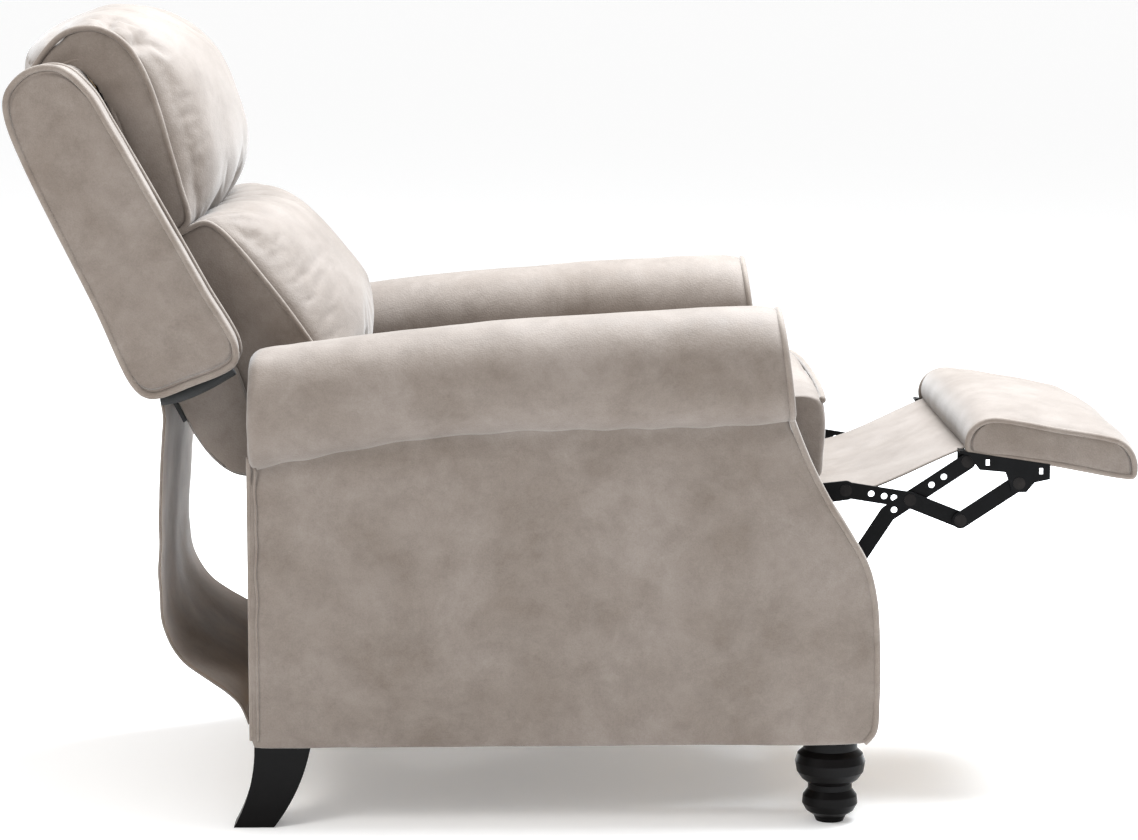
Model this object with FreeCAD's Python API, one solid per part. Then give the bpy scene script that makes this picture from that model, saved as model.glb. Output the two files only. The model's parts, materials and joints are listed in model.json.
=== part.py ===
import FreeCAD, Part
import math
import os

# Recliner armchair, millimetres. +X is the front, +Z is up, the floor is Z = 0 and Y = 0 is the middle.

# Overall sizes
ARM_OUTER = 362
ARM_INNER = 255
ROLL_OUTER = 375
SEAT_HALF = 245
BACK_HALF = 233.5
WING_OUTER = 360

# Arm frame
SKIN = 7
BOARD = 18
SILL_BOTTOM = 104
SILL_TOP = 150

# Leaning frame of the back: U runs up the back and V runs forward out of it
LEAN = math.radians(24.5)
BACK_X = -535
BACK_Z = 545

# Flat steel links stand in parallel planes; plane 0 is the outermost of the footrest links
PLANE_0 = 247
PITCH = 5
STEEL = 3.5
LINK_HALF = 10
PIN_R = 4
PIN_HEAD_R = 7.5
PIN_HEAD = 0.6
RUNNING_FIT = 0.05
HEAD_GAP = 0.1

# Swing links that carry the seat
SWING_LENGTH = 100
SWING_TILT = math.radians(10)
REAR_SWING = (-230, 190)
FRONT_SWING = (120, 190)

# Back hinge and footrest pivots, as (x, z)
BACK_HINGE = (-345, 400)
ARM_PIVOT = (324, 396)
CROSS_PIVOT = (404, 383)
LOWER_PIVOT = (466, 358)
REAR_PAD_PIVOT = (475, 430)
FRONT_PAD_PIVOT = (537, 405)
TAIL_BEND = (377, 365)
TAIL = (336, 302)
SLOT_HALF = 2.5
SLOT_LENGTH = 8
BRACKET_SLOTS = [(498, 427), (564, 416)]
LONG_LINK_HOLES = [(356, 391), (372, 388), (384, 386)]
CROSS_LINK_HOLES = [(385, 370), (431, 401), (446, 411)]

# Footrest and flaps
FOOTREST_FRONT = 697
BOARD_THICK = 14
BOARD_HALF = 238
FLAP_THICK = 3
FRONT_FLAP_HALF = 221
REAR_FLAP_HALF = 280


def vec(x, y, z):
    return FreeCAD.Vector(x, y, z)


def box(x0, x1, y0, y1, z0, z1):
    return Part.makeBox(x1 - x0, y1 - y0, z1 - z0, vec(x0, y0, z0))


def prism(points, y0, y1):
    corners = [vec(x, y0, z) for x, z in points]
    face = Part.Face(Part.makePolygon(corners + corners[:1]))
    return face.extrude(vec(0, y1 - y0, 0))


def rounded_prism(points, y0, y1, radius):
    solid = prism(points, y0, y1)
    across = [e for e in solid.Edges if abs(e.tangentAt(e.FirstParameter).y) > 0.99]
    return solid.makeFillet(radius, across)


def cylinder(x, z, radius, y0, y1):
    return Part.makeCylinder(radius, y1 - y0, vec(x, y0, z), vec(0, 1, 0))


def back_point(u, v):
    x = BACK_X - u * math.sin(LEAN) + v * math.cos(LEAN)
    z = BACK_Z + u * math.cos(LEAN) + v * math.sin(LEAN)
    return (x, z)


def back_outline(points):
    return [back_point(u, v) for u, v in points]


def plane(number):
    outer = PLANE_0 - number * PITCH
    return outer - STEEL, outer


def mirrored(shape):
    return shape.mirror(vec(0, 0, 0), vec(0, 1, 0))


def save(name, shape):
    if not shape.isValid():
        print("INVALID", name)
    print(name, len(shape.Solids), round(shape.Volume / 1000), shape.BoundBox)
    shape.exportStep("parts/" + name + ".step")


def save_pair(name, left):
    save(name + "_left", left)
    save(name + "_right", mirrored(left))


def save_group(name, left_shapes):
    shapes = left_shapes + [mirrored(s) for s in left_shapes]
    save(name, Part.makeCompound(shapes))


def swing_top(foot):
    return (foot[0] + SWING_LENGTH * math.sin(SWING_TILT), foot[1] + SWING_LENGTH * math.cos(SWING_TILT))


# Arms

ARM_OUTLINE = [(-402, 104), (342, 104), (354, 135), (354, 233), (349, 290), (338, 325), (296, 394),
               (254, 481), (239, 561), (229, 622), (200, 633), (-20, 622), (-221, 604), (-387, 584),
               (-404, 572)]
CAVITY_OUTLINE = [(-390, 104), (-390, 430), (250, 430), (284, 370), (322, 310), (338, 233), (338, 135),
                  (334, 104)]
FRONT_FOOT = (301, 315)
REAR_LEG = (-366, 320)


def arm_upholstery():
    body = prism(ARM_OUTLINE, ARM_INNER, ARM_OUTER)
    roll = prism([(-402, 452), (-101, 490), (236, 500), (229, 622), (200, 633), (-20, 622), (-221, 604),
                  (-387, 584), (-402, 572)], ARM_OUTER - 5, ROLL_OUTER)
    roll_edges = [e for e in roll.Edges if abs(e.Vertexes[0].Y - ROLL_OUTER) < 0.01
                  and abs(e.Vertexes[-1].Y - ROLL_OUTER) < 0.01]
    roll = roll.makeFillet(9, roll_edges)
    cavity = prism(CAVITY_OUTLINE, ARM_INNER + SKIN, ARM_OUTER - SKIN)
    sill_slot = box(-390, 334, ARM_INNER - 1, ARM_INNER + SKIN + 1, SILL_BOTTOM - 1, SILL_TOP)
    below = box(-390, 334, ARM_INNER + SKIN, ARM_OUTER - SKIN, SILL_BOTTOM - 5, SILL_BOTTOM)
    return body.fuse(roll).cut(cavity).cut(sill_slot).cut(below).removeSplitter()


def arm_board():
    return prism(CAVITY_OUTLINE, ARM_OUTER - SKIN - BOARD, ARM_OUTER - SKIN)


def arm_sill():
    sill = box(-390, 334, ARM_INNER, ARM_OUTER - SKIN - BOARD, SILL_BOTTOM, SILL_TOP)
    for x, y in (FRONT_FOOT, REAR_LEG):
        sill = sill.cut(Part.makeCylinder(4, 30, vec(x, y, SILL_BOTTOM)))
    return sill


def make_arms():
    save_pair("arm_upholstery", arm_upholstery())
    save_pair("arm_side_board", arm_board())
    save_pair("arm_sill", arm_sill())


# Base

def front_foot():
    x, y = FRONT_FOOT
    profile = [(0, 0), (17, 0), (20, 7), (29, 13), (34, 22), (33, 32), (27, 40), (27, 47), (35, 53), (41, 62),
               (43, 74), (40, 84), (33, 90), (33, SILL_BOTTOM), (0, SILL_BOTTOM)]
    face = Part.Face(Part.makePolygon([vec(r, 0, z) for r, z in profile + profile[:1]]))
    foot = face.revolve(vec(0, 0, 0), vec(0, 0, 1), 360)
    foot.translate(vec(x, y, 0))
    return foot.cut(Part.makeCylinder(4, 30, vec(x, y, SILL_BOTTOM - 30)))


def rear_leg():
    x, y = REAR_LEG
    front = Part.Arc(vec(-331, 0, SILL_BOTTOM), vec(-348, 0, 48), vec(-377, 0, 0)).toShape()
    rear = Part.Arc(vec(-426, 0, 0), vec(-405, 0, 54), vec(-400, 0, SILL_BOTTOM)).toShape()
    bottom = Part.makeLine(vec(-377, 0, 0), vec(-426, 0, 0))
    top = Part.makeLine(vec(-400, 0, SILL_BOTTOM), vec(-331, 0, SILL_BOTTOM))
    leg = Part.Face(Part.Wire([front, bottom, rear, top])).extrude(vec(0, 40, 0))
    leg.translate(vec(0, y - 20, 0))
    return leg.cut(Part.makeCylinder(4, 30, vec(x, y, SILL_BOTTOM - 30)))


def hanger_bolts():
    return [Part.makeCylinder(4, 60, vec(x, y, SILL_BOTTOM - 30)) for x, y in (FRONT_FOOT, REAR_LEG)]


def base_rail():
    y0, y1 = plane(-1)
    rail = box(-330, 250, y0, y1, 118, 205)
    rail = rail.fuse(box(-330, 250, y1, ARM_INNER, 118, 122)).removeSplitter()
    for foot in (REAR_SWING, FRONT_SWING):
        rail = rail.cut(cylinder(foot[0], foot[1], PIN_R, y0 - 1, y1 + 1))
    return rail


def pin(place, fixed_plane, moving_plane):
    """A headed rivet: tight in one plate, running in the other, with a head outside each."""
    x, z = place
    fixed = plane(fixed_plane)
    moving = plane(moving_plane)
    if fixed[0] < moving[0]:
        low, high = fixed[0], moving[1] + HEAD_GAP
    else:
        low, high = moving[0] - HEAD_GAP, fixed[1]
    shank = cylinder(x, z, PIN_R, low, high)
    inner_head = cylinder(x, z, PIN_HEAD_R, low - PIN_HEAD, low)
    outer_head = cylinder(x, z, PIN_HEAD_R, high, high + PIN_HEAD)
    return shank.fuse(inner_head).fuse(outer_head).removeSplitter()


def strip(points, level):
    y0, y1 = plane(level)
    shape = None
    for x, z in points:
        disc = cylinder(x, z, LINK_HALF, y0, y1)
        shape = disc if shape is None else shape.fuse(disc)
    for (xa, za), (xb, zb) in zip(points, points[1:]):
        length = math.hypot(xb - xa, zb - za)
        nx = -(zb - za) / length * LINK_HALF
        nz = (xb - xa) / length * LINK_HALF
        bar = prism([(xa + nx, za + nz), (xb + nx, zb + nz), (xb - nx, zb - nz), (xa - nx, za - nz)], y0, y1)
        shape = shape.fuse(bar)
    return shape.removeSplitter()


def drill(shape, place, level, fit=0.0):
    y0, y1 = plane(level)
    return shape.cut(cylinder(place[0], place[1], PIN_R + fit, y0 - 1, y1 + 1))


def swing_link(foot, top_fit):
    top = swing_top(foot)
    link = strip([foot, top], 0)
    link = drill(link, foot, 0, RUNNING_FIT)
    return drill(link, top, 0, top_fit)


def make_base():
    save("base_front_rail", box(300, 322, -ARM_INNER, ARM_INNER, 106, 150))
    save("base_rear_rail", box(-390, -368, -ARM_INNER, ARM_INNER, 106, 200))
    save_pair("front_foot", front_foot())
    save_pair("rear_leg", rear_leg())
    save_group("foot_hanger_bolts", hanger_bolts())
    save_pair("mechanism_base_rail", base_rail())
    save_group("base_pivot_rivets", [pin(REAR_SWING, -1, 0), pin(FRONT_SWING, -1, 0)])


def make_swings():
    save_pair("rear_swing_link", swing_link(REAR_SWING, RUNNING_FIT))
    save_pair("front_swing_link", swing_link(FRONT_SWING, 0.5))
    x = REAR_SWING[0] + SWING_LENGTH / 2 * math.sin(SWING_TILT)
    z = REAR_SWING[1] + SWING_LENGTH / 2 * math.cos(SWING_TILT)
    save("swing_torque_tube", cylinder(x, z, 9, -plane(0)[0], plane(0)[0]))


# Seat

SEAT_TOP = 404


def seat_plate():
    y0, y1 = plane(1)
    rear_top = swing_top(REAR_SWING)
    front_top = swing_top(FRONT_SWING)
    plate = prism([(-345, 382), (-260, 370), (rear_top[0] - 12, rear_top[1]), (rear_top[0], rear_top[1] - 12),
                   (rear_top[0] + 12, rear_top[1]), (-160, 366), (70, 366),
                   (front_top[0] - 12, front_top[1]), (front_top[0], front_top[1] - 12),
                   (front_top[0] + 12, front_top[1]), (190, 366), (324, 384), (324, 408), (285, SEAT_TOP),
                   (-324, SEAT_TOP), (-345, 418)], y0, y1)
    for end, radius in ((BACK_HINGE, 18), (ARM_PIVOT, 12)):
        plate = plate.fuse(cylinder(end[0], end[1], radius, y0, y1))
    plate = plate.fuse(box(-300, 280, 190, y1, 400.5, SEAT_TOP)).removeSplitter()
    for place in (BACK_HINGE, ARM_PIVOT, rear_top, front_top):
        plate = drill(plate, place, 1)
    return plate


def sinuous(axis_y, x0, x1, z):
    """One zigzag spring wire, run as straight bars with round corners."""
    half = 22
    count = 9
    points = []
    for i in range(count + 1):
        x = x0 + (x1 - x0) * i / count
        points.append(vec(x, axis_y - half if i % 2 else axis_y + half, z))
    wire = None
    for a, b in zip(points, points[1:]):
        bar = Part.makeCylinder(1.8, (b - a).Length, a, b - a)
        wire = bar if wire is None else wire.fuse(bar)
    for p in points:
        wire = wire.fuse(Part.makeSphere(1.8, p))
    return wire


def make_seat():
    save_pair("seat_side_plate", seat_plate())
    rail = box(-300, 280, 190, 215, 345, 400.5)
    save_pair("seat_side_rail", rail)
    save("seat_front_rail", box(258, 280, -190, 190, 345, 400.5))
    save("seat_rear_rail", box(-300, -278, -190, 190, 345, 400.5))
    springs = [sinuous(y, -272, 252, 388) for y in (-140, -47, 47, 140)]
    save("seat_springs", Part.makeCompound(springs))
    cushion = rounded_prism([(-318, SEAT_TOP + 1), (288, SEAT_TOP + 1), (291, 490), (278, 508), (240, 514),
                             (-60, 500), (-318, 486)], -SEAT_HALF, SEAT_HALF, 4)
    save("seat_cushion", cushion)
    rear_top = swing_top(REAR_SWING)
    front_top = swing_top(FRONT_SWING)
    save_group("seat_pivot_rivets", [pin(rear_top, 1, 0), pin(front_top, 1, 0), pin(BACK_HINGE, 1, 2),
                                     pin(ARM_PIVOT, 1, 2)])


# Back

def back_post():
    points = back_outline([(-134, 42), (-156, 58), (-156, 95), (375, 95), (375, 20), (-16, 20),
                           (-24, 30), (-112, 32)])
    return prism(points, BACK_HALF - 25, BACK_HALF)


def back_bracket():
    y0, y1 = plane(2)
    low = back_point(-150, 60)
    high = back_point(-50, 60)
    plate = strip([BACK_HINGE, low, high], 2)
    plate = plate.fuse(cylinder(BACK_HINGE[0], BACK_HINGE[1], 14, y0, y1)).removeSplitter()
    return drill(plate, BACK_HINGE, 2, RUNNING_FIT)


def back_rail(u0, u1, v0, v1):
    inner = BACK_HALF - 25
    return prism(back_outline([(u0, v0), (u1, v0), (u1, v1), (u0, v1)]), -inner, inner)


def back_webbing():
    bands = []
    for y in (-130, -45, 45, 130):
        bands.append(prism(back_outline([(-135, 95), (370, 95), (370, 97), (-135, 97)]), y - 25, y + 25))
    return Part.makeCompound(bands)


def wing():
    points = back_outline([(-22, 10), (0, 0), (345, 0), (372, 12), (386, 40), (386, 62), (374, 80), (336, 98),
                           (292, 103), (190, 112), (71, 121), (-18, 127), (-27, 120)])
    solid = prism(points, BACK_HALF, WING_OUTER)
    outer = [e for e in solid.Edges if all(abs(v.Y - WING_OUTER) < 0.01 for v in e.Vertexes)]
    return solid.makeFillet(6, outer)


def make_back():
    save_pair("back_post", back_post())
    save_pair("back_bracket", back_bracket())
    save("back_top_rail", back_rail(335, 375, 20, 95))
    save("back_bottom_rail", back_rail(-150, -105, 45, 95))
    save("back_webbing", back_webbing())
    save_pair("wing", wing())
    panel = prism(back_outline([(-115, 8), (375, 8), (375, 20), (-115, 20)]), -BACK_HALF, BACK_HALF)
    save("outside_back_panel", panel)
    head = rounded_prism(back_outline([(150, 99), (140, 128), (162, 183), (195, 202), (250, 217), (305, 219),
                                       (353, 207), (388, 189), (412, 158), (425, 104), (429, 47), (408, 8),
                                       (377, -5), (377, 99)]), -BACK_HALF, BACK_HALF, 5)
    save("head_cushion", head)
    lumbar = rounded_prism(back_outline([(-108, 99), (-104, 262), (-61, 267), (-23, 263),
                                        (17, 253), (65, 240),
                                         (101, 222), (129, 199), (146, 165), (132, 128), (138, 99)]),
                           -BACK_HALF, BACK_HALF, 5)
    save("lumbar_cushion", lumbar)


# Footrest

BOARD_SLOPE = 0.156
BOARD_START = (480, 443.4)


def under_board(x):
    return BOARD_START[1] - BOARD_SLOPE * (x - BOARD_START[0])


def pad_bracket():
    """Two plates, outside and inside the links, joined by a flange under the footrest board."""
    outer = plane(0)
    inner = plane(4)
    x0 = 463
    x1 = 575
    outside = prism([(472, under_board(472) - 1), (488, 422), (520, 419), (529, 394), (546, 394), (556, 406),
                     (x1, 410), (x1, under_board(x1) - 1)], outer[0], outer[1])
    inside = prism([(x0, under_board(x0) - 1), (x0, 428), (475, 418), (487, 428),
                    (487, under_board(487) - 1)], inner[0], inner[1])
    slots = [box(x - SLOT_HALF, x + SLOT_HALF, outer[0] - 1, outer[1] + 1, z, z + SLOT_LENGTH)
             for x, z in BRACKET_SLOTS]
    flange = prism([(x0, under_board(x0) - STEEL), (x1, under_board(x1) - STEEL), (x1, under_board(x1)),
                    (x0, under_board(x0))], inner[0], outer[1])
    shape = outside.cut(slots).fuse(inside).fuse(flange).removeSplitter()
    shape = drill(shape, REAR_PAD_PIVOT, 4, RUNNING_FIT)
    return drill(shape, FRONT_PAD_PIVOT, 0, 0.3)


def board_outline(x0, x1, thickness):
    return [(x0, under_board(x0)), (x1, under_board(x1)), (x1, under_board(x1) + thickness),
            (x0, under_board(x0) + thickness)]


def footrest_pad():
    pad = rounded_prism([(473, 446), (474, 465), (485, 477), (500, 484), (586, 472), (664, 458), (686, 446),
                         (FOOTREST_FRONT, 428), (690, 413), (672, 411)], -SEAT_HALF, SEAT_HALF, 4)
    recess = board_outline(BOARD_START[0], 670, BOARD_THICK)
    below = board_outline(400, 720, -60)
    return pad.cut(prism(recess, -BOARD_HALF, BOARD_HALF)).cut(prism(below, -300, 300))


def make_footrest():
    long_link = strip([ARM_PIVOT, CROSS_PIVOT, LOWER_PIVOT], 2)
    long_link = drill(long_link, ARM_PIVOT, 2, RUNNING_FIT)
    for place in [CROSS_PIVOT, LOWER_PIVOT] + LONG_LINK_HOLES:
        long_link = drill(long_link, place, 2)
    save_pair("footrest_long_link", long_link)
    cross_link = strip([TAIL, TAIL_BEND, CROSS_PIVOT, REAR_PAD_PIVOT], 3)
    cross_link = drill(cross_link, CROSS_PIVOT, 3, RUNNING_FIT)
    for place in [REAR_PAD_PIVOT, TAIL] + CROSS_LINK_HOLES:
        cross_link = drill(cross_link, place, 3)
    save_pair("footrest_cross_link", cross_link)
    front_link = strip([LOWER_PIVOT, FRONT_PAD_PIVOT], 1)
    front_link = drill(front_link, LOWER_PIVOT, 1, RUNNING_FIT)
    save_pair("footrest_front_link", drill(front_link, FRONT_PAD_PIVOT, 1))
    save_group("long_link_rivets", [pin(CROSS_PIVOT, 2, 3), pin(LOWER_PIVOT, 2, 1)])
    save_group("cross_link_rivets", [pin(REAR_PAD_PIVOT, 3, 4)])
    save_group("front_link_rivets", [pin(FRONT_PAD_PIVOT, 1, 0)])
    save_pair("footrest_bracket", pad_bracket())
    board = prism(board_outline(BOARD_START[0], 670, BOARD_THICK), -BOARD_HALF, BOARD_HALF)
    save("footrest_board", board)
    save("footrest_pad", footrest_pad())


# Fabric flaps that bridge moving parts

def hanging_sheet(points, y_half):
    upper = [(x + FLAP_THICK, z + FLAP_THICK / 3) for x, z in points]
    return prism(points + upper[::-1], -y_half, y_half)


def make_flaps():
    front = [(292, 392), (324, 388), (377, 402), (428, 423), (472, 441)]
    over = [(x, z + FLAP_THICK) for x, z in front]
    save("front_flap", prism(front + over[::-1], -FRONT_FLAP_HALF, FRONT_FLAP_HALF))
    rear = [(-517, 500), (-516, 480), (-516, 393), (-518, 335), (-520, 293), (-514, 231), (-494, 194),
            (-468, 172), (-438, 153), (-418, 132), (-411, 112)]
    save("rear_flap", hanging_sheet(rear, REAR_FLAP_HALF))


os.makedirs("parts", exist_ok=True)
make_arms()
make_base()
make_swings()
make_seat()
make_back()
make_footrest()
make_flaps()
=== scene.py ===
import json
import math

import bmesh
import bpy
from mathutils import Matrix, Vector, noise


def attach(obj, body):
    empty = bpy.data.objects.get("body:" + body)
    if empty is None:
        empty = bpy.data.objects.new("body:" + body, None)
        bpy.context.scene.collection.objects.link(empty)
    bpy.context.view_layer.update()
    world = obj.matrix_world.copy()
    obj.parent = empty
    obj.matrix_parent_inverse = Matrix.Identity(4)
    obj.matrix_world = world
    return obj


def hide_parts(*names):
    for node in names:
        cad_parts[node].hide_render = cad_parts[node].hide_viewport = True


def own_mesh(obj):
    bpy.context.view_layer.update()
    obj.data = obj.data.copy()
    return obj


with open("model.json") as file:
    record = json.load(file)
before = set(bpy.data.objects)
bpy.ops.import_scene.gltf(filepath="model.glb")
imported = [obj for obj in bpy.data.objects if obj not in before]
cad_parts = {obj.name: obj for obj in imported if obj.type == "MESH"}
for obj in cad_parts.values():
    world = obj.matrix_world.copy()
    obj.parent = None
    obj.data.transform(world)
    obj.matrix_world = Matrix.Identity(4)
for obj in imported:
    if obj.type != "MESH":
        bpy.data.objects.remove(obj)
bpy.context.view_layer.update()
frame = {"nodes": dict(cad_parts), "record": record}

SIDES = (("left", 1), ("right", -1))

# Leaning frame of the back, in metres: u runs up the back, v runs forward out of it
LEAN = math.radians(24.5)
BACK_X = -0.535
BACK_Z = 0.545


def back_point(u, v):
    x = BACK_X - u * math.sin(LEAN) + v * math.cos(LEAN)
    z = BACK_Z + u * math.cos(LEAN) + v * math.sin(LEAN)
    return (x, z)


# Materials

def new_material(name):
    material = bpy.data.materials.new(name)
    material.use_nodes = True
    nodes = material.node_tree.nodes
    return material, nodes, material.node_tree.links, nodes["Principled BSDF"]


def coordinates(nodes):
    return nodes.new("ShaderNodeTexCoord").outputs["Object"]


def noise_node(nodes, links, coords, scale, detail, roughness, distortion=0.0):
    node = nodes.new("ShaderNodeTexNoise")
    node.inputs["Scale"].default_value = scale
    node.inputs["Detail"].default_value = detail
    node.inputs["Roughness"].default_value = roughness
    node.inputs["Distortion"].default_value = distortion
    links.new(coords, node.inputs["Vector"])
    return node.outputs["Fac"]


def ramp(nodes, links, source, stops):
    node = nodes.new("ShaderNodeValToRGB")
    elements = node.color_ramp.elements
    while len(elements) < len(stops):
        elements.new(0.5)
    for element, (place, color) in zip(elements, stops):
        element.position = place
        element.color = tuple(color) + (1,)
    links.new(source, node.inputs["Fac"])
    return node.outputs["Color"]


def mix(nodes, links, mode, factor, first, second):
    node = nodes.new("ShaderNodeMix")
    node.data_type = "RGBA"
    node.blend_type = mode
    if isinstance(factor, float):
        node.inputs["Factor"].default_value = factor
    else:
        links.new(factor, node.inputs["Factor"])
    links.new(first, node.inputs["A"])
    if isinstance(second, tuple):
        node.inputs["B"].default_value = second + (1,)
    else:
        links.new(second, node.inputs["B"])
    return node.outputs["Result"]


def suede(name, pale, dark, rough=0.78, cloud=0.75, grain=0.5):
    """Distressed faux suede: broad clouds, small rubbed spots and a fine pebbled grain."""
    material, nodes, links, shader = new_material(name)
    coords = coordinates(nodes)
    broad = noise_node(nodes, links, coords, 8.0, 9.0, 0.70, 0.3)
    color = ramp(nodes, links, broad, [(0.36, dark), (0.64, pale)])
    rubbed = noise_node(nodes, links, coords, 34.0, 8.0, 0.72, 0.2)
    spots = ramp(nodes, links, rubbed, [(0.36, (0.80, 0.78, 0.76)), (0.56, (1.0, 1.0, 1.0))])
    color = mix(nodes, links, "MULTIPLY", cloud, color, spots)
    fine = noise_node(nodes, links, coords, 620.0, 4.0, 0.7)
    flecks = ramp(nodes, links, fine, [(0.32, (0.70, 0.67, 0.64)), (0.60, (1.0, 1.0, 1.0))])
    color = mix(nodes, links, "MULTIPLY", grain, color, flecks)
    links.new(color, shader.inputs["Base Color"])
    wear = ramp(nodes, links, rubbed, [(0.3, (rough - 0.16,) * 3), (0.7, (rough,) * 3)])
    links.new(wear, shader.inputs["Roughness"])
    shader.inputs["Sheen Weight"].default_value = 0.25
    shader.inputs["Sheen Roughness"].default_value = 0.5
    shader.inputs["Specular IOR Level"].default_value = 0.3
    pebble = nodes.new("ShaderNodeTexVoronoi")
    pebble.inputs["Scale"].default_value = 480.0
    links.new(coords, pebble.inputs["Vector"])
    low = nodes.new("ShaderNodeBump")
    low.inputs["Strength"].default_value = 0.30
    low.inputs["Distance"].default_value = 0.0006
    links.new(pebble.outputs["Distance"], low.inputs["Height"])
    high = nodes.new("ShaderNodeBump")
    high.inputs["Strength"].default_value = 0.25
    high.inputs["Distance"].default_value = 0.0015
    links.new(rubbed, high.inputs["Height"])
    links.new(low.outputs["Normal"], high.inputs["Normal"])
    links.new(high.outputs["Normal"], shader.inputs["Normal"])
    return material


def plain_surface(name, color, darker, metallic, rough, scale, bump=0.0003, coat=0.0):
    """Paint, plating or lacquer with faint unevenness of tone and gloss."""
    material, nodes, links, shader = new_material(name)
    coords = coordinates(nodes)
    mottled = noise_node(nodes, links, coords, scale, 6.0, 0.6)
    links.new(ramp(nodes, links, mottled, [(0.3, darker), (0.7, color)]), shader.inputs["Base Color"])
    gloss = ramp(nodes, links, mottled, [(0.3, (rough - 0.06,) * 3), (0.7, (rough + 0.06,) * 3)])
    links.new(gloss, shader.inputs["Roughness"])
    shader.inputs["Metallic"].default_value = metallic
    shader.inputs["Coat Weight"].default_value = coat
    shader.inputs["Specular IOR Level"].default_value = 0.05
    shader.inputs["Coat Roughness"].default_value = 0.18
    uneven = noise_node(nodes, links, coords, scale * 6, 3.0, 0.5)
    height = nodes.new("ShaderNodeBump")
    height.inputs["Strength"].default_value = 0.3
    height.inputs["Distance"].default_value = bump
    links.new(uneven, height.inputs["Height"])
    links.new(height.outputs["Normal"], shader.inputs["Normal"])
    return material


def wood(name, pale, dark):
    """Sawn timber with long grain along X."""
    material, nodes, links, shader = new_material(name)
    stretch = nodes.new("ShaderNodeMapping")
    stretch.inputs["Scale"].default_value = (1.5, 14.0, 14.0)
    links.new(coordinates(nodes), stretch.inputs["Vector"])
    grain = noise_node(nodes, links, stretch.outputs["Vector"], 9.0, 8.0, 0.65, 1.2)
    links.new(ramp(nodes, links, grain, [(0.35, dark), (0.65, pale)]), shader.inputs["Base Color"])
    shader.inputs["Roughness"].default_value = 0.7
    height = nodes.new("ShaderNodeBump")
    height.inputs["Strength"].default_value = 0.4
    height.inputs["Distance"].default_value = 0.0005
    links.new(grain, height.inputs["Height"])
    links.new(height.outputs["Normal"], shader.inputs["Normal"])
    return material


def weave(name, color, dark):
    """Coarse woven backing: crossed threads."""
    material, nodes, links, shader = new_material(name)
    coords = coordinates(nodes)
    heights = []
    for axis in ("Y", "Z"):
        wave = nodes.new("ShaderNodeTexWave")
        wave.bands_direction = axis
        wave.inputs["Scale"].default_value = 260.0
        wave.inputs["Distortion"].default_value = 1.5
        links.new(coords, wave.inputs["Vector"])
        heights.append(wave.outputs["Fac"])
    crossed = nodes.new("ShaderNodeMath")
    crossed.operation = "MULTIPLY"
    links.new(heights[0], crossed.inputs[0])
    links.new(heights[1], crossed.inputs[1])
    patches = noise_node(nodes, links, coords, 14.0, 6.0, 0.65)
    base = ramp(nodes, links, patches, [(0.3, dark), (0.7, color)])
    threads = ramp(nodes, links, crossed.outputs[0], [(0.0, (0.75, 0.75, 0.75)), (0.8, (1.0, 1.0, 1.0))])
    links.new(mix(nodes, links, "MULTIPLY", 0.5, base, threads), shader.inputs["Base Color"])
    shader.inputs["Roughness"].default_value = 0.85
    height = nodes.new("ShaderNodeBump")
    height.inputs["Strength"].default_value = 0.5
    height.inputs["Distance"].default_value = 0.0008
    links.new(crossed.outputs[0], height.inputs["Height"])
    links.new(height.outputs["Normal"], shader.inputs["Normal"])
    return material


SUEDE = suede("suede_upholstery", (0.184, 0.155, 0.135), (0.136, 0.109, 0.090))
WELT = suede("suede_welt", (0.200, 0.170, 0.147), (0.148, 0.117, 0.096), grain=0.5)
BACKING = suede("brown_backing", (0.34, 0.25, 0.19), (0.20, 0.14, 0.10), rough=0.7)
BLACK_STEEL = plain_surface("black_painted_steel", (0.006, 0.006, 0.0065), (0.004, 0.004, 0.004), 0.0,
                            0.42, 40)
RIVETS = plain_surface("dark_rivet_steel", (0.020, 0.018, 0.017), (0.010, 0.009, 0.009), 0.2, 0.36, 60)
BRIGHT_STEEL = plain_surface("zinc_steel", (0.55, 0.55, 0.54), (0.40, 0.40, 0.40), 1.0, 0.34, 50)
LACQUER = plain_surface("dark_lacquered_wood", (0.0035, 0.003, 0.003), (0.002, 0.0018, 0.0018), 0.0, 0.32, 18,
                        0.0006, 0.05)
TIMBER = wood("frame_timber", (0.62, 0.48, 0.32), (0.40, 0.28, 0.17))
WEBBING = weave("elastic_webbing", (0.20, 0.17, 0.14), (0.11, 0.09, 0.075))
BLACK_CLOTH = weave("black_dust_cloth", (0.020, 0.020, 0.020), (0.008, 0.008, 0.008))
SLOT_MATERIALS = {"black_steel": BLACK_STEEL, "bright_steel": BRIGHT_STEEL, "rivet_steel": RIVETS,
                  "frame_wood": TIMBER, "foot_wood": LACQUER, "webbing": WEBBING}


def finish_cad_nodes():
    for part in frame["record"]["subparts"]:
        node = frame["nodes"][part["node"]]
        material = SLOT_MATERIALS.get(part["material_slot"], SUEDE)
        node.data.materials.clear()
        node.data.materials.append(material)


# Mesh helpers

def mesh_piece(name, verts, faces, material):
    mesh = bpy.data.meshes.new(name)
    mesh.from_pydata([tuple(v) for v in verts], [], faces)
    mesh.update()
    edit = bmesh.new()
    edit.from_mesh(mesh)
    bmesh.ops.recalc_face_normals(edit, faces=edit.faces)
    edit.to_mesh(mesh)
    edit.free()
    obj = bpy.data.objects.new(name, mesh)
    bpy.context.scene.collection.objects.link(obj)
    mesh.materials.append(material)
    for polygon in mesh.polygons:
        polygon.use_smooth = True
    return obj


def register(obj, body):
    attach(obj, body)
    return obj


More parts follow.
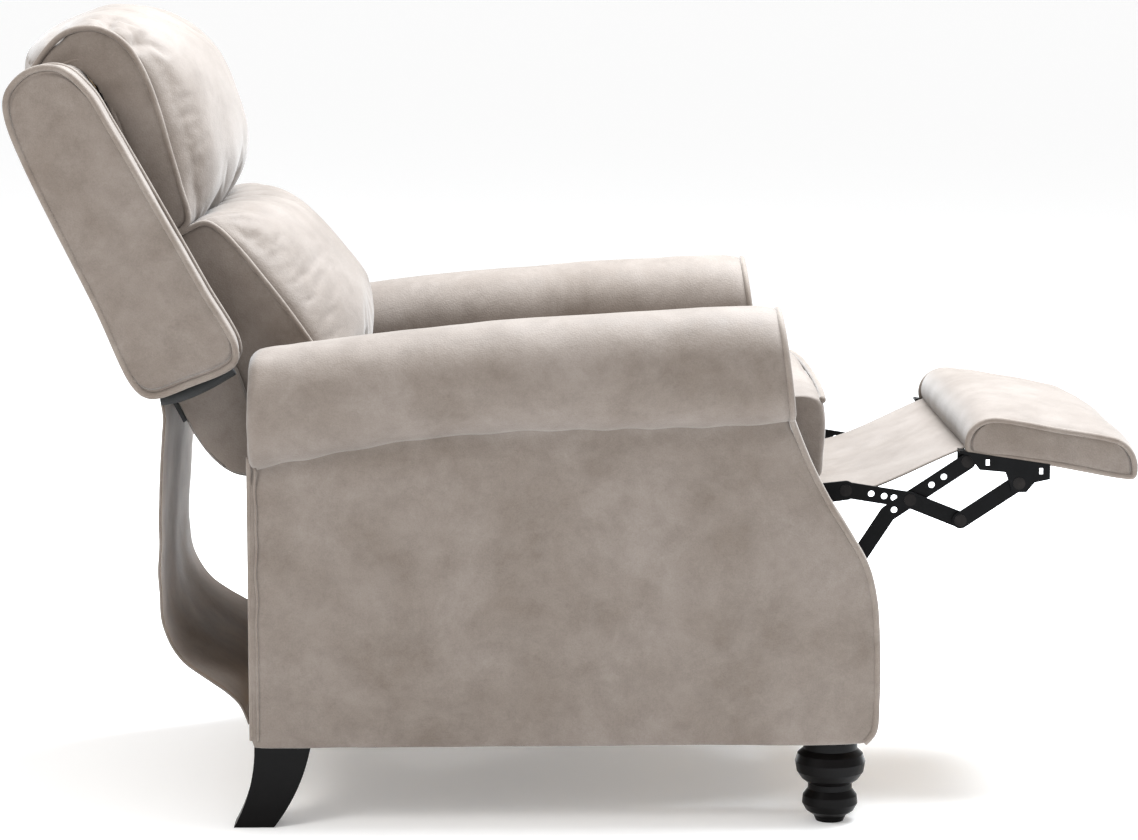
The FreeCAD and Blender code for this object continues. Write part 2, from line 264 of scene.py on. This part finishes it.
def curve_between(p, knots, t):
    level = p
    for depth in (1, 2, 3):
        blended = []
        for i in range(4 - depth):
            low = knots[1] if depth == 3 else knots[i]
            high = knots[2] if depth == 3 else knots[i + depth]
            share = (t - low) / (high - low)
            blended.append(level[i] * (1 - share) + level[i + 1] * share)
        level = blended
    return level[0]


def curve_points(corners, count, closed=True):
    """Evenly spaced points on a centripetal Catmull-Rom curve through the corners."""
    n = len(corners)
    spans = n if closed else n - 1
    dense = []
    steps = 24
    for i in range(spans):
        if closed:
            p = [Vector(corners[(i + k - 1) % n]) for k in range(4)]
        else:
            p = [Vector(corners[min(max(i + k - 1, 0), n - 1)]) for k in range(4)]
        knots = [0.0]
        for a, b in zip(p, p[1:]):
            knots.append(knots[-1] + max((b - a).length, 1e-6) ** 0.5)
        for s in range(steps):
            t = knots[1] + (knots[2] - knots[1]) * s / steps
            dense.append(curve_between(p, knots, t))
    dense.append(Vector(corners[0]) if closed else Vector(corners[-1]))
    lengths = [0.0]
    for a, b in zip(dense, dense[1:]):
        lengths.append(lengths[-1] + (b - a).length)
    total = lengths[-1]
    result = []
    j = 0
    last = count if closed else count - 1
    for i in range(count):
        target = total * i / last
        while j < len(lengths) - 2 and lengths[j + 1] < target:
            j += 1
        span = max(lengths[j + 1] - lengths[j], 1e-9)
        result.append(dense[j].lerp(dense[j + 1], min(max((target - lengths[j]) / span, 0), 1)))
    return result


def tube(name, path, radius, material, closed=False, sides=10):
    """A welt cord or bead along a list of points."""
    path = [Vector(p) for p in path]
    n = len(path)
    verts = []
    faces = []
    side = None
    for i, p in enumerate(path):
        after = path[(i + 1) % n] if closed else path[min(i + 1, n - 1)]
        before = path[i - 1] if closed else path[max(i - 1, 0)]
        forward = (after - before).normalized()
        if side is None:
            side = forward.orthogonal().normalized()
        side = (side - forward * side.dot(forward)).normalized()
        up = forward.cross(side)
        for k in range(sides):
            angle = 2 * math.pi * k / sides
            verts.append(p + radius * (math.cos(angle) * side + math.sin(angle) * up))
    rings = n if closed else n - 1
    for i in range(rings):
        for k in range(sides):
            a = i * sides + k
            b = i * sides + (k + 1) % sides
            c = ((i + 1) % n) * sides + (k + 1) % sides
            d = ((i + 1) % n) * sides + k
            faces.append((a, b, c, d))
    if not closed:
        faces.append(tuple(range(sides)))
        faces.append(tuple((n - 1) * sides + k for k in range(sides)))
    return mesh_piece(name, verts, faces, material)


def lump(point, scale, seed):
    return noise.noise(Vector((point[0] * scale + seed, point[1] * scale, point[2] * scale)))


def block(name, edge, middle, y0, y1, material, place=None, bulge=0.0, fullness=2.5, rings=16, columns=30,
          rounding=0.005, count=180):
    """Closed upholstered form carried across Y from y0 to y1.

    edge and middle are closed outlines of (a, b) points at the two ends and half-way; the form swells from
    one to the other. place turns (a, b) into (x, z). bulge domes the two end faces.
    """
    place = place or (lambda a, b: (a, b))
    edge = curve_points(edge, count)
    middle = curve_points(middle, count)
    centre = sum(edge, Vector((0, 0))) / count
    y_mid = (y0 + y1) / 2
    half = (y1 - y0) / 2
    crown = math.sqrt((rings - 1) / rings)
    sections = []
    for k in range(rings):
        share = math.sqrt(k / rings)
        points = [centre.lerp(p, 0.01 + 0.975 * share) for p in edge]
        sections.append((points, -half - bulge * (1 - share ** 4)))
    for k in range(columns + 1):
        s = math.sin((k / columns - 0.5) * math.pi)
        swell = crown * max(0.0, 1 - abs(s) ** fullness) ** 0.6
        points = [p.lerp(q, swell) for p, q in zip(edge, middle)]
        corner = max(0.0, abs(s) * half - (half - rounding)) / rounding
        inset = rounding * (1 - math.sqrt(max(0.0, 1 - corner ** 2)))
        points = [p + (centre - p).normalized() * inset for p in points]
        sections.append((points, half * s))
    for k in reversed(range(rings)):
        share = math.sqrt(k / rings)
        points = [centre.lerp(p, 0.01 + 0.975 * share) for p in edge]
        sections.append((points, half + bulge * (1 - share ** 4)))
    verts = []
    for points, y in sections:
        for p in points:
            x, z = place(p.x, p.y)
            verts.append(Vector((x, y_mid + y, z)))
    faces = []
    for k in range(len(sections) - 1):
        for i in range(count):
            j = (i + 1) % count
            faces.append((k * count + i, k * count + j, (k + 1) * count + j, (k + 1) * count + i))
    faces.append(tuple(range(count)))
    faces.append(tuple(range((len(sections) - 1) * count, len(sections) * count)))
    return mesh_piece(name, verts, faces, material)


def crumple(obj, depth):
    """Moves each point along its normal by depth(point)."""
    moves = [v.normal * depth(v.co) for v in obj.data.vertices]
    for v, move in zip(obj.data.vertices, moves):
        v.co += move
    obj.data.update()


def plump(obj, held, cap, voxel=0.0055, pressure=5.0, slack=0.02, frames=18):
    """Inflates a cushion's cloth; held(point) of 1 keeps a point in place, cap limits how far one moves."""
    remesh = obj.modifiers.new("even_mesh", "REMESH")
    remesh.mode = "VOXEL"
    remesh.voxel_size = voxel
    apply_modifiers(obj)
    start = [v.co.copy() for v in obj.data.vertices]
    group = obj.vertex_groups.new(name="held")
    for v in obj.data.vertices:
        group.add([v.index], held(v.co), "REPLACE")
    cloth = obj.modifiers.new("cloth", "CLOTH")
    settings = cloth.settings
    settings.quality = 5
    settings.mass = 0.3
    settings.tension_stiffness = 18
    settings.compression_stiffness = 18
    settings.shear_stiffness = 6
    settings.bending_stiffness = 0.35
    settings.use_pressure = True
    settings.uniform_pressure_force = pressure
    settings.shrink_min = -slack
    settings.vertex_group_mass = "held"
    settings.effector_weights.gravity = 0
    cloth.point_cache.frame_start = 1
    cloth.point_cache.frame_end = frames
    for frame_number in range(1, frames + 1):
        bpy.context.scene.frame_set(frame_number)
    evaluated = obj.evaluated_get(bpy.context.evaluated_depsgraph_get())
    moved = [v.co.copy() for v in evaluated.data.vertices]
    obj.modifiers.clear()
    obj.vertex_groups.clear()
    for v, before, after in zip(obj.data.vertices, start, moved):
        shift = after - before
        if shift.length > cap:
            shift *= cap / shift.length
        v.co = before + shift
    obj.data.update()
    bpy.context.scene.frame_set(1)
    smooth = obj.modifiers.new("even_out", "SMOOTH")
    smooth.factor = 0.5
    smooth.iterations = 2
    fine = obj.modifiers.new("fine", "SUBSURF")
    fine.levels = 1
    fine.render_levels = 1
    apply_modifiers(obj)
    for polygon in obj.data.polygons:
        polygon.use_smooth = True


def apply_modifiers(obj):
    evaluated = obj.evaluated_get(bpy.context.evaluated_depsgraph_get())
    mesh = bpy.data.meshes.new_from_object(evaluated)
    obj.modifiers.clear()
    obj.data = mesh


def near(value, centre, width):
    return math.exp(-((value - centre) / width) ** 2)


def soft_unevenness(seed, broad=0.0020, fine=0.0007):
    def depth(p):
        return broad * lump(p, 9.0, seed) + fine * lump(p, 30.0, seed + 5)
    return depth


def back_uv(p):
    dx = p[0] - BACK_X
    dz = p[2] - BACK_Z
    u = -dx * math.sin(LEAN) + dz * math.cos(LEAN)
    v = dx * math.cos(LEAN) + dz * math.sin(LEAN)
    return u, v


def lift(points, y, place=None):
    place = place or (lambda a, b: (a, b))
    return [Vector((place(a, b)[0], y, place(a, b)[1])) for a, b in points]


# Arms

ARM_EDGE = [(-0.399, 0.1030), (-0.396, 0.1025), (-0.20, 0.1025), (0.05, 0.1030), (0.338, 0.1045),
            (0.344, 0.106), (0.348, 0.113), (0.354, 0.160), (0.353, 0.233), (0.350, 0.282),
            (0.340, 0.321), (0.318, 0.359), (0.296, 0.394), (0.271, 0.443), (0.254, 0.481),
            (0.244, 0.513), (0.239, 0.561), (0.234, 0.590), (0.226, 0.598), (0.205, 0.596),
            (-0.02, 0.580), (-0.22, 0.560), (-0.380, 0.540), (-0.398, 0.530), (-0.402, 0.50),
            (-0.404, 0.33), (-0.403, 0.20), (-0.402, 0.112), (-0.4012, 0.106)]
ARM_FRONT_EDGE = [(0.340, 0.106), (0.351, 0.119), (0.3545, 0.160), (0.354, 0.233), (0.350, 0.284),
                  (0.340, 0.323), (0.319, 0.361), (0.297, 0.396), (0.272, 0.444), (0.256, 0.482)]
ROLL_TOP = [(-0.404, 0.578), (-0.387, 0.584), (-0.341, 0.590), (-0.281, 0.597), (-0.221, 0.604),
            (-0.101, 0.616), (0.019, 0.625), (0.139, 0.631), (0.211, 0.633), (0.231, 0.630)]
ROLL_TUCK = [(-0.404, 0.441), (-0.351, 0.452), (-0.306, 0.460), (-0.244, 0.471), (-0.175, 0.480),
             (-0.101, 0.485), (-0.030, 0.488), (0.100, 0.490), (0.180, 0.493), (0.240, 0.498)]
ROLL_REAR = -0.402
ROLL_FRONT = 0.2325
ROLL_END_ROUND = 0.013
ROLL_CENTRE_Y = 0.318
ROLL_TUCK_SHARE = 0.93
ROLL_HALF_Y = 0.071
ROLL_LOWER_FULLNESS = 0.7
ARM_Y = (0.2560, 0.3605)
WELT_RADIUS = 0.0042


def height_on(line, x):
    for (xa, za), (xb, zb) in zip(line, line[1:]):
        if x <= xb:
            return za + (zb - za) * max(0.0, (x - xa) / (xb - xa))
    return line[-1][1]


def roll_section(x, shrink=0.0, count=64):
    top = height_on(ROLL_TOP, x) - shrink
    low = height_on(ROLL_TUCK, x) + shrink
    centre = low + 0.50 * (top - low)
    points = []
    for k in range(count):
        angle = 2 * math.pi * k / count
        c = math.cos(angle)
        s = math.sin(angle)
        power = 1.0 if s > 0 else ROLL_LOWER_FULLNESS
        y = (ROLL_HALF_Y - shrink) * math.copysign(abs(c) ** power, c)
        reach = (top - centre) if s > 0 else (centre - low) / ROLL_TUCK_SHARE
        points.append((ROLL_CENTRE_Y + y, centre + reach * math.copysign(abs(s) ** power, s)))
    return points


def front_slant(z):
    """How far the front of the roll leans forward of its top at height z, to follow the front panel."""
    return 0.0145 * min(1.0, max(0.0, (0.625 - z) / 0.115))


def arm_roll(name, side):
    """The rolled top of an arm, tucked under along its lower line and rounded at its rear end."""
    steps = 90
    verts = []
    faces = []
    count = 64
    stations = []
    for k in range(7):
        turn = k / 6 * math.pi / 2
        along = ROLL_END_ROUND * (1 - math.cos(turn))
        stations.append((ROLL_REAR + along, ROLL_END_ROUND * (1 - math.sin(turn))))
    start = ROLL_REAR + ROLL_END_ROUND
    for k in range(1, steps):
        stations.append((start + (ROLL_FRONT - 0.006 - start) * k / steps, 0.0))
    stations.append((ROLL_FRONT - 0.003, 0.0006))
    stations.append((ROLL_FRONT, 0.0035))
    for x, shrink in stations:
        for y, z in roll_section(x, shrink):
            share = max(0.0, (x - 0.05) / (ROLL_FRONT - 0.05)) ** 2
            verts.append(Vector((x + share * front_slant(z), side * y, z)))
    for k in range(len(stations) - 1):
        for i in range(count):
            j = (i + 1) % count
            faces.append((k * count + i, k * count + j, (k + 1) * count + j, (k + 1) * count + i))
    faces.append(tuple(range(count)))
    faces.append(tuple(range((len(stations) - 1) * count, len(stations) * count)))
    roll = mesh_piece(name, verts, faces, SUEDE)

    def depth(p):
        tuck = height_on(ROLL_TUCK, p.x)
        pull = near(p.z, tuck, 0.035) * 0.0016 * math.sin(p.x * 95 + 3 * lump(p, 5.0, 2.0))
        end_pull = near(p.x, -0.39, 0.05) * 0.0016 * lump(p, 35.0, 8.0)
        return 0.0016 * lump(p, 8.0, 3.0 + side) + 0.0006 * lump(p, 26.0, 9.0) + pull * 0.5 + end_pull
    crumple(roll, depth)
    return roll


def make_arm(word, side):
    low, high = (ARM_Y if side > 0 else (-ARM_Y[1], -ARM_Y[0]))
    cover = block("arm_cover_" + word, ARM_EDGE, ARM_EDGE, low, high, SUEDE, bulge=0.0035, rounding=0.006,
                  rings=26, columns=24, count=240)

    def depth(p):
        drop = near(p.z, height_on(ROLL_TUCK, p.x) - 0.004, 0.012) * 0.0045
        return 0.0016 * lump(p, 6.0, 20.0 + side) + 0.0005 * lump(p, 22.0, 30.0) - drop
    crumple(cover, depth)
    register(cover, "base")
    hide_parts("arm_upholstery_" + word)
    roll = register(arm_roll("arm_roll_" + word, side), "base")
    front = curve_points(ARM_FRONT_EDGE, 110, closed=False)
    rim = [(ROLL_FRONT + front_slant(z), side * y, z) for y, z in roll_section(0.231, 0.002) if z > 0.499]
    rim.sort(key=lambda p: math.atan2(p[2] - 0.49, (abs(p[1]) - ROLL_CENTRE_Y)))
    up = [(p.x - 0.002, side * (ARM_Y[1] - 0.002), p.y) for p in front]
    down = [(p.x - 0.002, side * (ARM_Y[0] + 0.002), p.y) for p in reversed(front)]
    register(tube("arm_front_welt_" + word, up + rim + down, WELT_RADIUS, WELT), "base")
    strip = [(-0.3935, z) for z in (0.112, 0.2, 0.3, 0.4, 0.445)]
    seam = curve_points(strip, 60, closed=False)
    path = [(p.x + 0.0016 * lump((0, 0, p.y), 30.0, 4.0), side * (ARM_Y[1] + 0.0005), p.y) for p in seam]
    register(tube("arm_rear_seam_" + word, path, 0.0016, WELT), "base")
    edge_path = [(-0.4010, side * (ARM_Y[1] - 0.004), 0.112 + 0.345 * k / 50) for k in range(51)]
    register(tube("arm_rear_welt_" + word, edge_path, 0.0035, WELT), "base")


for side_word, side_sign in SIDES:
    make_arm(side_word, side_sign)


# Back

WING_EDGE = [(-0.020, 0.012), (-0.004, 0.001), (0.10, 0.000), (0.345, 0.000), (0.372, 0.012), (0.385, 0.038),
             (0.384, 0.062), (0.372, 0.082), (0.336, 0.098), (0.292, 0.103), (0.190, 0.112), (0.071, 0.121),
             (-0.010, 0.127), (-0.025, 0.118), (-0.026, 0.060)]
CORE_EDGE = [(-0.012, 0.010), (0.10, 0.002), (0.30, 0.002), (0.365, 0.008), (0.378, 0.030), (0.375, 0.080),
             (0.340, 0.094), (0.10, 0.098), (-0.010, 0.098), (-0.020, 0.050)]
LOWER_EDGE = [(-0.020, 0.014), (-0.042, 0.020), (-0.095, 0.023), (-0.135, 0.032), (-0.160, 0.048),
              (-0.172, 0.070), (-0.166, 0.096), (-0.10, 0.100), (-0.016, 0.100), (-0.012, 0.050)]
HEAD_EDGE = [(0.140, 0.100), (0.143, 0.126), (0.190, 0.137), (0.234, 0.144), (0.276, 0.151), (0.314, 0.155),
             (0.342, 0.155), (0.366, 0.151), (0.386, 0.141), (0.401, 0.126), (0.409, 0.108), (0.411, 0.090),
             (0.406, 0.070), (0.395, 0.048), (0.382, 0.030), (0.377, 0.050), (0.372, 0.095), (0.25, 0.100)]
HEAD_MIDDLE = [(0.140, 0.100), (0.128, 0.128), (0.150, 0.172), (0.195, 0.204), (0.250, 0.218), (0.305, 0.220),
               (0.353, 0.208), (0.388, 0.189), (0.412, 0.158), (0.424, 0.128), (0.427, 0.100), (0.428, 0.050),
               (0.412, 0.015), (0.387, -0.004), (0.377, 0.010), (0.377, 0.060), (0.372, 0.095), (0.25, 0.100)]
LUMBAR_EDGE = [(-0.108, 0.101), (-0.112, 0.200), (-0.080, 0.206), (-0.052, 0.200), (-0.024, 0.195),
               (0.006, 0.189), (0.044, 0.180), (0.083, 0.170), (0.118, 0.158), (0.134, 0.146), (0.136, 0.124),
               (0.130, 0.101), (0.02, 0.100)]
LUMBAR_MIDDLE = [(-0.108, 0.101), (-0.106, 0.258), (-0.061, 0.267), (-0.023, 0.263), (0.017, 0.253),
                 (0.065, 0.240), (0.101, 0.222), (0.129, 0.199), (0.146, 0.168), (0.145, 0.145),
                 (0.136, 0.122), (0.130, 0.101), (0.02, 0.100)]
CUSHION_HALF = 0.240
LUMBAR_TOP = 0.145


def closed_welt(name, outline, y, radius, place):
    path = []
    for p in curve_points(outline, 200):
        x, z = place(p.x, p.y)
        path.append((x, y, z))
    return tube(name, path, radius, WELT, closed=True)


def make_wing(word, side):
    low, high = ((0.296, 0.360) if side > 0 else (-0.360, -0.296))
    wing = block("wing_cover_" + word, WING_EDGE, WING_EDGE, low, high, SUEDE, place=back_point, bulge=0.003,
                 rounding=0.008, rings=22)
    crumple(wing, soft_unevenness(40.0 + side, 0.0016, 0.0005))
    register(wing, "back")
    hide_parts("wing_" + word)
    register(closed_welt("wing_welt_" + word, WING_EDGE, side * 0.3585, WELT_RADIUS, back_point), "back")
    register(closed_welt("wing_inner_welt_" + word, WING_EDGE, side * 0.2985, 0.0034, back_point), "back")


def head_depth(p):
    """Pleats fan in from the boxing seam at the two upper corners, and the sides sag a little."""
    u, v = back_uv(p)
    from_seam = max(0.0, CUSHION_HALF - abs(p.y))
    fade = math.exp(-from_seam / 0.050) * min(1.0, from_seam / 0.008)
    arc = math.atan2(v - 0.09, u - 0.33)
    pleats = sum(near(arc, a, 0.10) for a in (-0.9, -0.15, 0.62, 1.15))
    corner = near(u, 0.40, 0.07)
    drag = 0.0022 * near(u, 0.17, 0.05) * math.sin(p.y * 70 + 2.0)
    return (-0.019 * pleats * corner * fade + 0.0028 * lump(p, 9.0, 60.0) + 0.0010 * lump(p, 28.0, 61.0)
            + drag * min(1.0, from_seam / 0.03))


def lumbar_depth(p):
    """Wrinkles radiate from each upper corner, where the cushion is pinched under the head cushion."""
    below_top = LUMBAR_TOP - back_uv(p)[0]
    from_seam = max(0.0, CUSHION_HALF - abs(p.y))
    arc = math.atan2(from_seam, below_top)
    reach = math.hypot(from_seam, below_top)
    fade = math.exp(-reach / 0.06) * min(1.0, from_seam / 0.01)
    rays = math.sin(arc * 13.0 + 2.5 * lump(p, 6.0, 70.0)) * fade
    drag = 0.0020 * near(below_top, 0.025, 0.03) * math.sin(p.y * 85)
    return 0.0036 * rays + drag + 0.0026 * lump(p, 8.0, 71.0) + 0.0008 * lump(p, 26.0, 72.0)


def back_cushion_held(p):
    """A cushion on the back is held along its boxing seams and over its rear."""
    v = back_uv(p)[1]
    at_side = min(1.0, max(0.0, (abs(p.y) - 0.218) / 0.014))
    at_rear = min(1.0, max(0.0, (0.118 - v) / 0.015))
    return max(at_side, at_rear)


def make_back():
    core = block("back_cover", CORE_EDGE, CORE_EDGE, -0.297, 0.297, SUEDE, place=back_point, rounding=0.004)
    crumple(core, soft_unevenness(44.0, 0.0012, 0.0005))
    register(core, "back")
    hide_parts("outside_back_panel")
    lower = block("back_lower_cover", LOWER_EDGE, LOWER_EDGE, -0.248, 0.248, SUEDE, place=back_point,
                  rounding=0.005, bulge=0.0015)
    crumple(lower, soft_unevenness(47.0, 0.0012, 0.0004))
    register(lower, "back")
    head = block("head_cushion_cover", HEAD_EDGE, HEAD_MIDDLE, -CUSHION_HALF, CUSHION_HALF, SUEDE,
                 place=back_point, bulge=0.004, fullness=2.2, columns=110, count=260, rounding=0.006)
    crumple(head, head_depth)
    plump(head, back_cushion_held, 0.019)
    register(head, "back")
    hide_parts("head_cushion")
    lumbar = block("lumbar_cushion_cover", LUMBAR_EDGE, LUMBAR_MIDDLE, -CUSHION_HALF, CUSHION_HALF, SUEDE,
                   place=back_point, bulge=0.003, fullness=2.2, columns=110, count=240, rounding=0.006)
    crumple(lumbar, lumbar_depth)
    plump(lumbar, back_cushion_held, 0.022)
    register(lumbar, "back")
    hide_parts("lumbar_cushion")
    for word, side in SIDES:
        make_wing(word, side)
        y = side * (CUSHION_HALF - 0.001)
        register(closed_welt("head_welt_" + word, HEAD_EDGE, y, 0.0040, back_point), "back")
        register(closed_welt("lumbar_welt_" + word, LUMBAR_EDGE, y, 0.0036, back_point), "back")
        strip = lift([(-0.030, 0.018), (-0.0355, 0.040), (-0.0365, 0.075), (-0.033, 0.112)], side * 0.340,
                     back_point)
        band = tube("wing_underside_band_" + word, curve_points(strip, 30, closed=False), 0.0075, BLACK_CLOTH)
        register(band, "back")
        edge = lift([(-0.022, 0.016), (-0.045, 0.019), (-0.075, 0.021)], side * 0.2475, back_point)
        edge_points = curve_points(edge, 20, closed=False)
        register(tube("lower_edge_band_" + word, edge_points, 0.003, BLACK_CLOTH), "back")


make_back()


# Seat and footrest

SEAT_EDGE = [(-0.318, 0.408), (-0.10, 0.407), (0.12, 0.407), (0.288, 0.408), (0.295, 0.440), (0.296, 0.490),
             (0.292, 0.507), (0.276, 0.514), (0.20, 0.503), (0.0, 0.492), (-0.20, 0.482), (-0.316, 0.474)]
SEAT_MIDDLE = [(-0.318, 0.408), (-0.10, 0.407), (0.12, 0.407), (0.292, 0.408), (0.301, 0.440), (0.302, 0.490),
               (0.297, 0.510), (0.276, 0.523), (0.20, 0.518), (0.0, 0.506), (-0.20, 0.492), (-0.316, 0.480)]
PAD_EDGE = [(0.476, 0.444), (0.473, 0.455), (0.477, 0.468), (0.487, 0.478), (0.502, 0.483), (0.525, 0.481),
            (0.586, 0.470), (0.640, 0.461), (0.661, 0.455), (0.674, 0.443), (0.680, 0.427), (0.678, 0.413),
            (0.668, 0.413), (0.575, 0.430), (0.520, 0.438)]
PAD_MIDDLE = [(0.476, 0.444), (0.470, 0.458), (0.473, 0.475), (0.485, 0.489), (0.505, 0.496), (0.530, 0.497),
              (0.586, 0.490), (0.638, 0.478), (0.664, 0.466), (0.684, 0.450), (0.698, 0.428), (0.692, 0.414),
              (0.668, 0.413), (0.575, 0.430), (0.520, 0.438)]


def make_seat():
    seat = block("seat_cushion_cover", SEAT_EDGE, SEAT_MIDDLE, -0.244, 0.244, SUEDE, bulge=0.0, fullness=3.0,
                 columns=60, rounding=0.006)
    crumple(seat, soft_unevenness(80.0, 0.0022, 0.0008))
    register(seat, "seat")
    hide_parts("seat_cushion")
    nose_half = 0.24
    path = []
    for k in range(61):
        y = -0.238 + 0.476 * k / 60
        out = abs(y / nose_half)
        path.append((0.2945 + 0.0055 * (1 - out ** 3), y, 0.508 + 0.004 * (1 - out ** 2)))
    register(tube("seat_nose_welt", path, WELT_RADIUS, WELT), "seat")


def make_footrest():
    pad = block("footrest_pad_cover", PAD_EDGE, PAD_MIDDLE, -0.244, 0.244, SUEDE, bulge=0.003, fullness=2.4,
                columns=80, count=220, rounding=0.006)

    def depth(p):
        from_seam = max(0.0, 0.244 - abs(p.y))
        tug = 0.0016 * math.sin(p.x * 120 + 3 * lump(p, 4.0, 91.0)) * math.exp(-from_seam / 0.03)
        return 0.0020 * lump(p, 9.0, 90.0) + 0.0006 * lump(p, 28.0, 92.0) + tug * min(1.0, from_seam / 0.01)
    crumple(pad, depth)
    register(pad, "footrest")
    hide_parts("footrest_pad")
    for word, side in SIDES:
        welt = closed_welt("footrest_welt_" + word, PAD_EDGE, side * 0.243, 0.0038, lambda a, b: (a, b))
        register(welt, "footrest")


make_seat()
make_footrest()


# Fabric flaps

def sheet_mesh(name, line, y_half, thick, waves, materials, skew=None, count=70, across=60):
    """A thin closed sheet: a line in (x, z) carried across Y, moved by waves(along, y)."""
    line = curve_points(line, count, closed=False)
    verts = []
    for layer in (0, 1):
        for i in range(across + 1):
            y = -y_half + 2 * y_half * i / across
            for k, p in enumerate(line):
                tangent = (line[min(k + 1, count - 1)] - line[max(k - 1, 0)]).normalized()
                normal = Vector((-tangent.y, tangent.x))
                shift = waves(k / (count - 1), y) + layer * thick
                q = p + normal * shift
                if skew:
                    q.x += skew(k / (count - 1), y)
                verts.append(Vector((q.x, y, q.y)))
    size = (across + 1) * count
    faces = []
    marks = []

    def at(layer, i, k):
        return layer * size + i * count + k

    for layer in (0, 1):
        for i in range(across):
            for k in range(count - 1):
                faces.append((at(layer, i, k), at(layer, i, k + 1),
                              at(layer, i + 1, k + 1), at(layer, i + 1, k)))
                marks.append(layer)
    for i in range(across):
        for k in (0, count - 1):
            faces.append((at(0, i, k), at(0, i + 1, k), at(1, i + 1, k), at(1, i, k)))
            marks.append(0)
    for k in range(count - 1):
        for i in (0, across):
            faces.append((at(0, i, k), at(0, i, k + 1), at(1, i, k + 1), at(1, i, k)))
            marks.append(0)
    obj = mesh_piece(name, verts, faces, materials[0])
    for extra in materials[1:]:
        obj.data.materials.append(extra)
    if len(materials) > 1:
        for polygon, mark in zip(obj.data.polygons, marks):
            polygon.material_index = mark
    return obj


FRONT_FLAP = [(0.292, 0.392), (0.306, 0.389), (0.324, 0.390), (0.352, 0.398), (0.380, 0.409), (0.428, 0.428),
              (0.456, 0.439), (0.478, 0.447)]
REAR_FLAP = [(-0.512, 0.512), (-0.510, 0.489), (-0.513, 0.440), (-0.516, 0.393), (-0.518, 0.335),
             (-0.520, 0.293), (-0.514, 0.231), (-0.495, 0.196), (-0.470, 0.175), (-0.440, 0.155),
             (-0.420, 0.136), (-0.411, 0.114)]
FRONT_FLAP_HALF = 0.2215
REAR_FLAP_HALF = 0.280


def make_flaps():
    def front_waves(along, y):
        sag = -0.004 * math.sin(math.pi * along)
        return sag + 0.0016 * math.sin(y * 42 + 5 * along) * math.sin(math.pi * along)

    flap = sheet_mesh("front_flap_cloth", FRONT_FLAP, FRONT_FLAP_HALF, 0.002, front_waves, [SUEDE])
    register(flap, "seat")
    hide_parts("front_flap")
    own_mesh(flap)

    def rear_waves(along, y):
        folds = 0.0020 * math.sin(y * 26 + 4 * along) * along * (1 - along) * 4
        return folds + 0.0012 * lump((along, y, 0), 14.0, 2.0)

    def rear_skew(along, y):
        return -0.010 * math.sin(math.pi * min(1.0, along * 1.1)) * (y / REAR_FLAP_HALF + 1) / 2

    rear = sheet_mesh("rear_flap_cloth", REAR_FLAP, REAR_FLAP_HALF, 0.003, rear_waves, [SUEDE, BACKING],
                      rear_skew, count=90, across=70)
    register(rear, "base")
    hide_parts("rear_flap")
    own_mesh(rear)


make_flaps()
finish_cad_nodes()


# Floor, light and camera

CAMERA_PLACE = (-0.1094, -4.6066, 1.1069)
CAMERA_PITCH = math.radians(8.11)
CAMERA_YAW = math.radians(1.217)
CAMERA_LENS = 113.9
WORLD_STRENGTH = 0.82
FLOOR_GLOW = 0.17

def make_stage():
    bpy.ops.mesh.primitive_plane_add(size=600, location=(0, 0, -0.0005))
    floor = bpy.context.object
    floor.name = "floor"
    material, _, _, shader = new_material("pale_floor")
    shader.inputs["Base Color"].default_value = (0.97, 0.97, 0.97, 1)
    shader.inputs["Roughness"].default_value = 0.6
    shader.inputs["Emission Color"].default_value = (1, 1, 1, 1)
    shader.inputs["Emission Strength"].default_value = FLOOR_GLOW
    floor.data.materials.append(material)
    world = bpy.data.worlds.new("studio")
    bpy.context.scene.world = world
    world.use_nodes = True
    world.node_tree.nodes["Background"].inputs["Color"].default_value = (1, 1, 1, 1)
    world.node_tree.nodes["Background"].inputs["Strength"].default_value = WORLD_STRENGTH


def area_light(name, place, target, size, power, color):
    light = bpy.data.lights.new(name, "AREA")
    light.shape = "SQUARE"
    light.size = size
    light.energy = power
    light.color = color
    obj = bpy.data.objects.new(name, light)
    bpy.context.scene.collection.objects.link(obj)
    obj.location = place
    obj.rotation_euler = (Vector(target) - Vector(place)).to_track_quat("-Z", "Y").to_euler()


def make_camera():
    camera = bpy.data.cameras.new("camera")
    camera.lens = CAMERA_LENS
    camera.sensor_width = 36.0
    obj = bpy.data.objects.new("camera", camera)
    bpy.context.scene.collection.objects.link(obj)
    obj.location = CAMERA_PLACE
    level = math.cos(CAMERA_PITCH)
    look = Vector((math.sin(CAMERA_YAW) * level, math.cos(CAMERA_YAW) * level, -math.sin(CAMERA_PITCH)))
    obj.rotation_euler = look.to_track_quat("-Z", "Y").to_euler()
    bpy.context.scene.camera = obj


make_stage()
area_light("key_light", (0.9, 0.6, 3.3), (0, 0, 0.4), 2.2, 480, (0.90, 0.955, 1.0))
area_light("wing_light", (-1.6, -1.7, 1.8), (-0.55, -0.35, 0.7), 0.8, 26, (1.0, 0.98, 0.95))
make_camera()
bpy.context.scene.view_settings.view_transform = "Standard"
